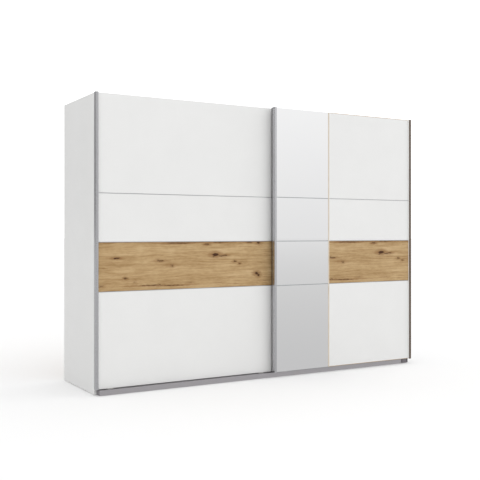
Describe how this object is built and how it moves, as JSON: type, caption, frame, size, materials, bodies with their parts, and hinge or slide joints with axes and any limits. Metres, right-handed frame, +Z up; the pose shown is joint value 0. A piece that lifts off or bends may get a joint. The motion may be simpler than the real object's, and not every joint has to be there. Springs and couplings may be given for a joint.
{
  "type": "sliding door wardrobe",
  "caption": "Wide wardrobe with sliding panel doors in white and knotty oak, a mirror column, top running tracks, a bottom guide rail, shelves and hanging rails.",
  "frame": {"origin": "on the floor, under the middle of the overall width and depth", "axes": "+Z up, +X along the width to the right of a person facing the doors, -Y towards that person"},
  "size_m": [2.7, 0.706, 2.0065],
  "materials": {
    "white_board": "white melamine faced chipboard, satin",
    "oak_board": "knotty oak decor, matt, horizontal grain",
    "mirror_glass": "silvered glass, polished",
    "aluminium_profile": "satin anodised aluminium",
    "bronze_profile": "brown satin coating on an aluminium profile",
    "oak_trim": "light oak edge trim, satin",
    "white_sheet": "thin white faced fibreboard",
    "white_plastic": "white moulded plastic",
    "nylon": "natural nylon, satin",
    "grey_plastic": "dark grey moulded plastic",
    "zinc_steel": "bright zinc plated steel",
    "chrome_tube": "chrome plated steel tube"
  },
  "bodies": {
    "carcass": {"back_joiners": "white_plastic", "back_sheets": "white_sheet", "bottom_panel_left": "white_board", "bottom_panel_right": "white_board", "bottom_rail": "aluminium_profile", "bottom_rail_cap_left": "grey_plastic", "bottom_rail_cap_right": "grey_plastic", "cam_bolts": "zinc_steel", "cam_locks": "zinc_steel", "carcass_screws": "zinc_steel", "centre_partition": "white_board", "floor_glides": "white_plastic", "hanging_rail_left": "chrome_tube", "hanging_rail_right": "chrome_tube", "plinth_boards": "white_board", "rail_flanges": "white_plastic", "shelf_left": "white_board", "shelf_pins": "zinc_steel", "shelf_right": "white_board", "side_panel_left": "white_board", "side_panel_right": "white_board", "top_panel_left": "white_board", "top_panel_right": "white_board", "top_track": "aluminium_profile", "track_end_stops": "grey_plastic", "wall_brackets": "zinc_steel"},
    "left_door": {"left_door_back_straps": "zinc_steel", "left_door_divider_strips": "aluminium_profile", "left_door_grip_profiles": "aluminium_profile", "left_door_guides": "nylon", "left_door_hangers": "zinc_steel", "left_door_panel_bottom": "white_board", "left_door_panel_oak_band": "oak_board", "left_door_panel_top": "white_board", "left_door_panel_upper": "white_board", "left_door_screws": "zinc_steel", "left_door_wheel_axles": "zinc_steel"},
    "right_door": {"right_door_back_straps": "zinc_steel", "right_door_cover_strip": "oak_trim", "right_door_divider_strips": "aluminium_profile", "right_door_dust_seal": "grey_plastic", "right_door_edge_trims": "oak_trim", "right_door_end_profile": "bronze_profile", "right_door_grip_profile": "aluminium_profile", "right_door_guides": "nylon", "right_door_hangers": "zinc_steel", "right_door_mirror_board": "white_board", "right_door_mirror_bottom": "mirror_glass", "right_door_mirror_middle": "mirror_glass", "right_door_mirror_top": "mirror_glass", "right_door_panel_bottom": "white_board", "right_door_panel_oak_band": "oak_board", "right_door_panel_top": "white_board", "right_door_panel_upper": "white_board", "right_door_screws": "zinc_steel", "right_door_wheel_axles": "zinc_steel"},
    "left_door_wheel_left": {"left_door_wheel_left": "nylon"},
    "left_door_wheel_right": {"left_door_wheel_right": "nylon"},
    "right_door_wheel_left": {"right_door_wheel_left": "nylon"},
    "right_door_wheel_right": {"right_door_wheel_right": "nylon"}
  },
  "joints": [
    {"name": "left_door_slide", "type": "slide", "parent": "carcass", "child": "left_door", "axis": [1, 0, 0], "range_m": [0, 1.3]},
    {"name": "right_door_slide", "type": "slide", "parent": "carcass", "child": "right_door", "axis": [1, 0, 0], "range_m": [-1.364, 0]},
    {"name": "left_door_wheel_left_roll", "type": "hinge", "parent": "left_door", "child": "left_door_wheel_left", "pos_m": [-1.2, -0.258, 1.9632], "axis": [0, 1, 0], "continuous": true},
    {"name": "left_door_wheel_right_roll", "type": "hinge", "parent": "left_door", "child": "left_door_wheel_right", "pos_m": [-0.1, -0.258, 1.9632], "axis": [0, 1, 0], "continuous": true},
    {"name": "right_door_wheel_left_roll", "type": "hinge", "parent": "right_door", "child": "right_door_wheel_left", "pos_m": [0.164, -0.236, 1.9632], "axis": [0, 1, 0], "continuous": true},
    {"name": "right_door_wheel_right_roll", "type": "hinge", "parent": "right_door", "child": "right_door_wheel_right", "pos_m": [1.2, -0.236, 1.9632], "axis": [0, 1, 0], "continuous": true}
  ],
  "couplings": [
    {"joint": "left_door_wheel_left_roll", "follows": "left_door_slide", "rad_per_m": 66.667},
    {"joint": "left_door_wheel_right_roll", "follows": "left_door_slide", "rad_per_m": 66.667},
    {"joint": "right_door_wheel_left_roll", "follows": "right_door_slide", "rad_per_m": 66.667},
    {"joint": "right_door_wheel_right_roll", "follows": "right_door_slide", "rad_per_m": 66.667}
  ]
}
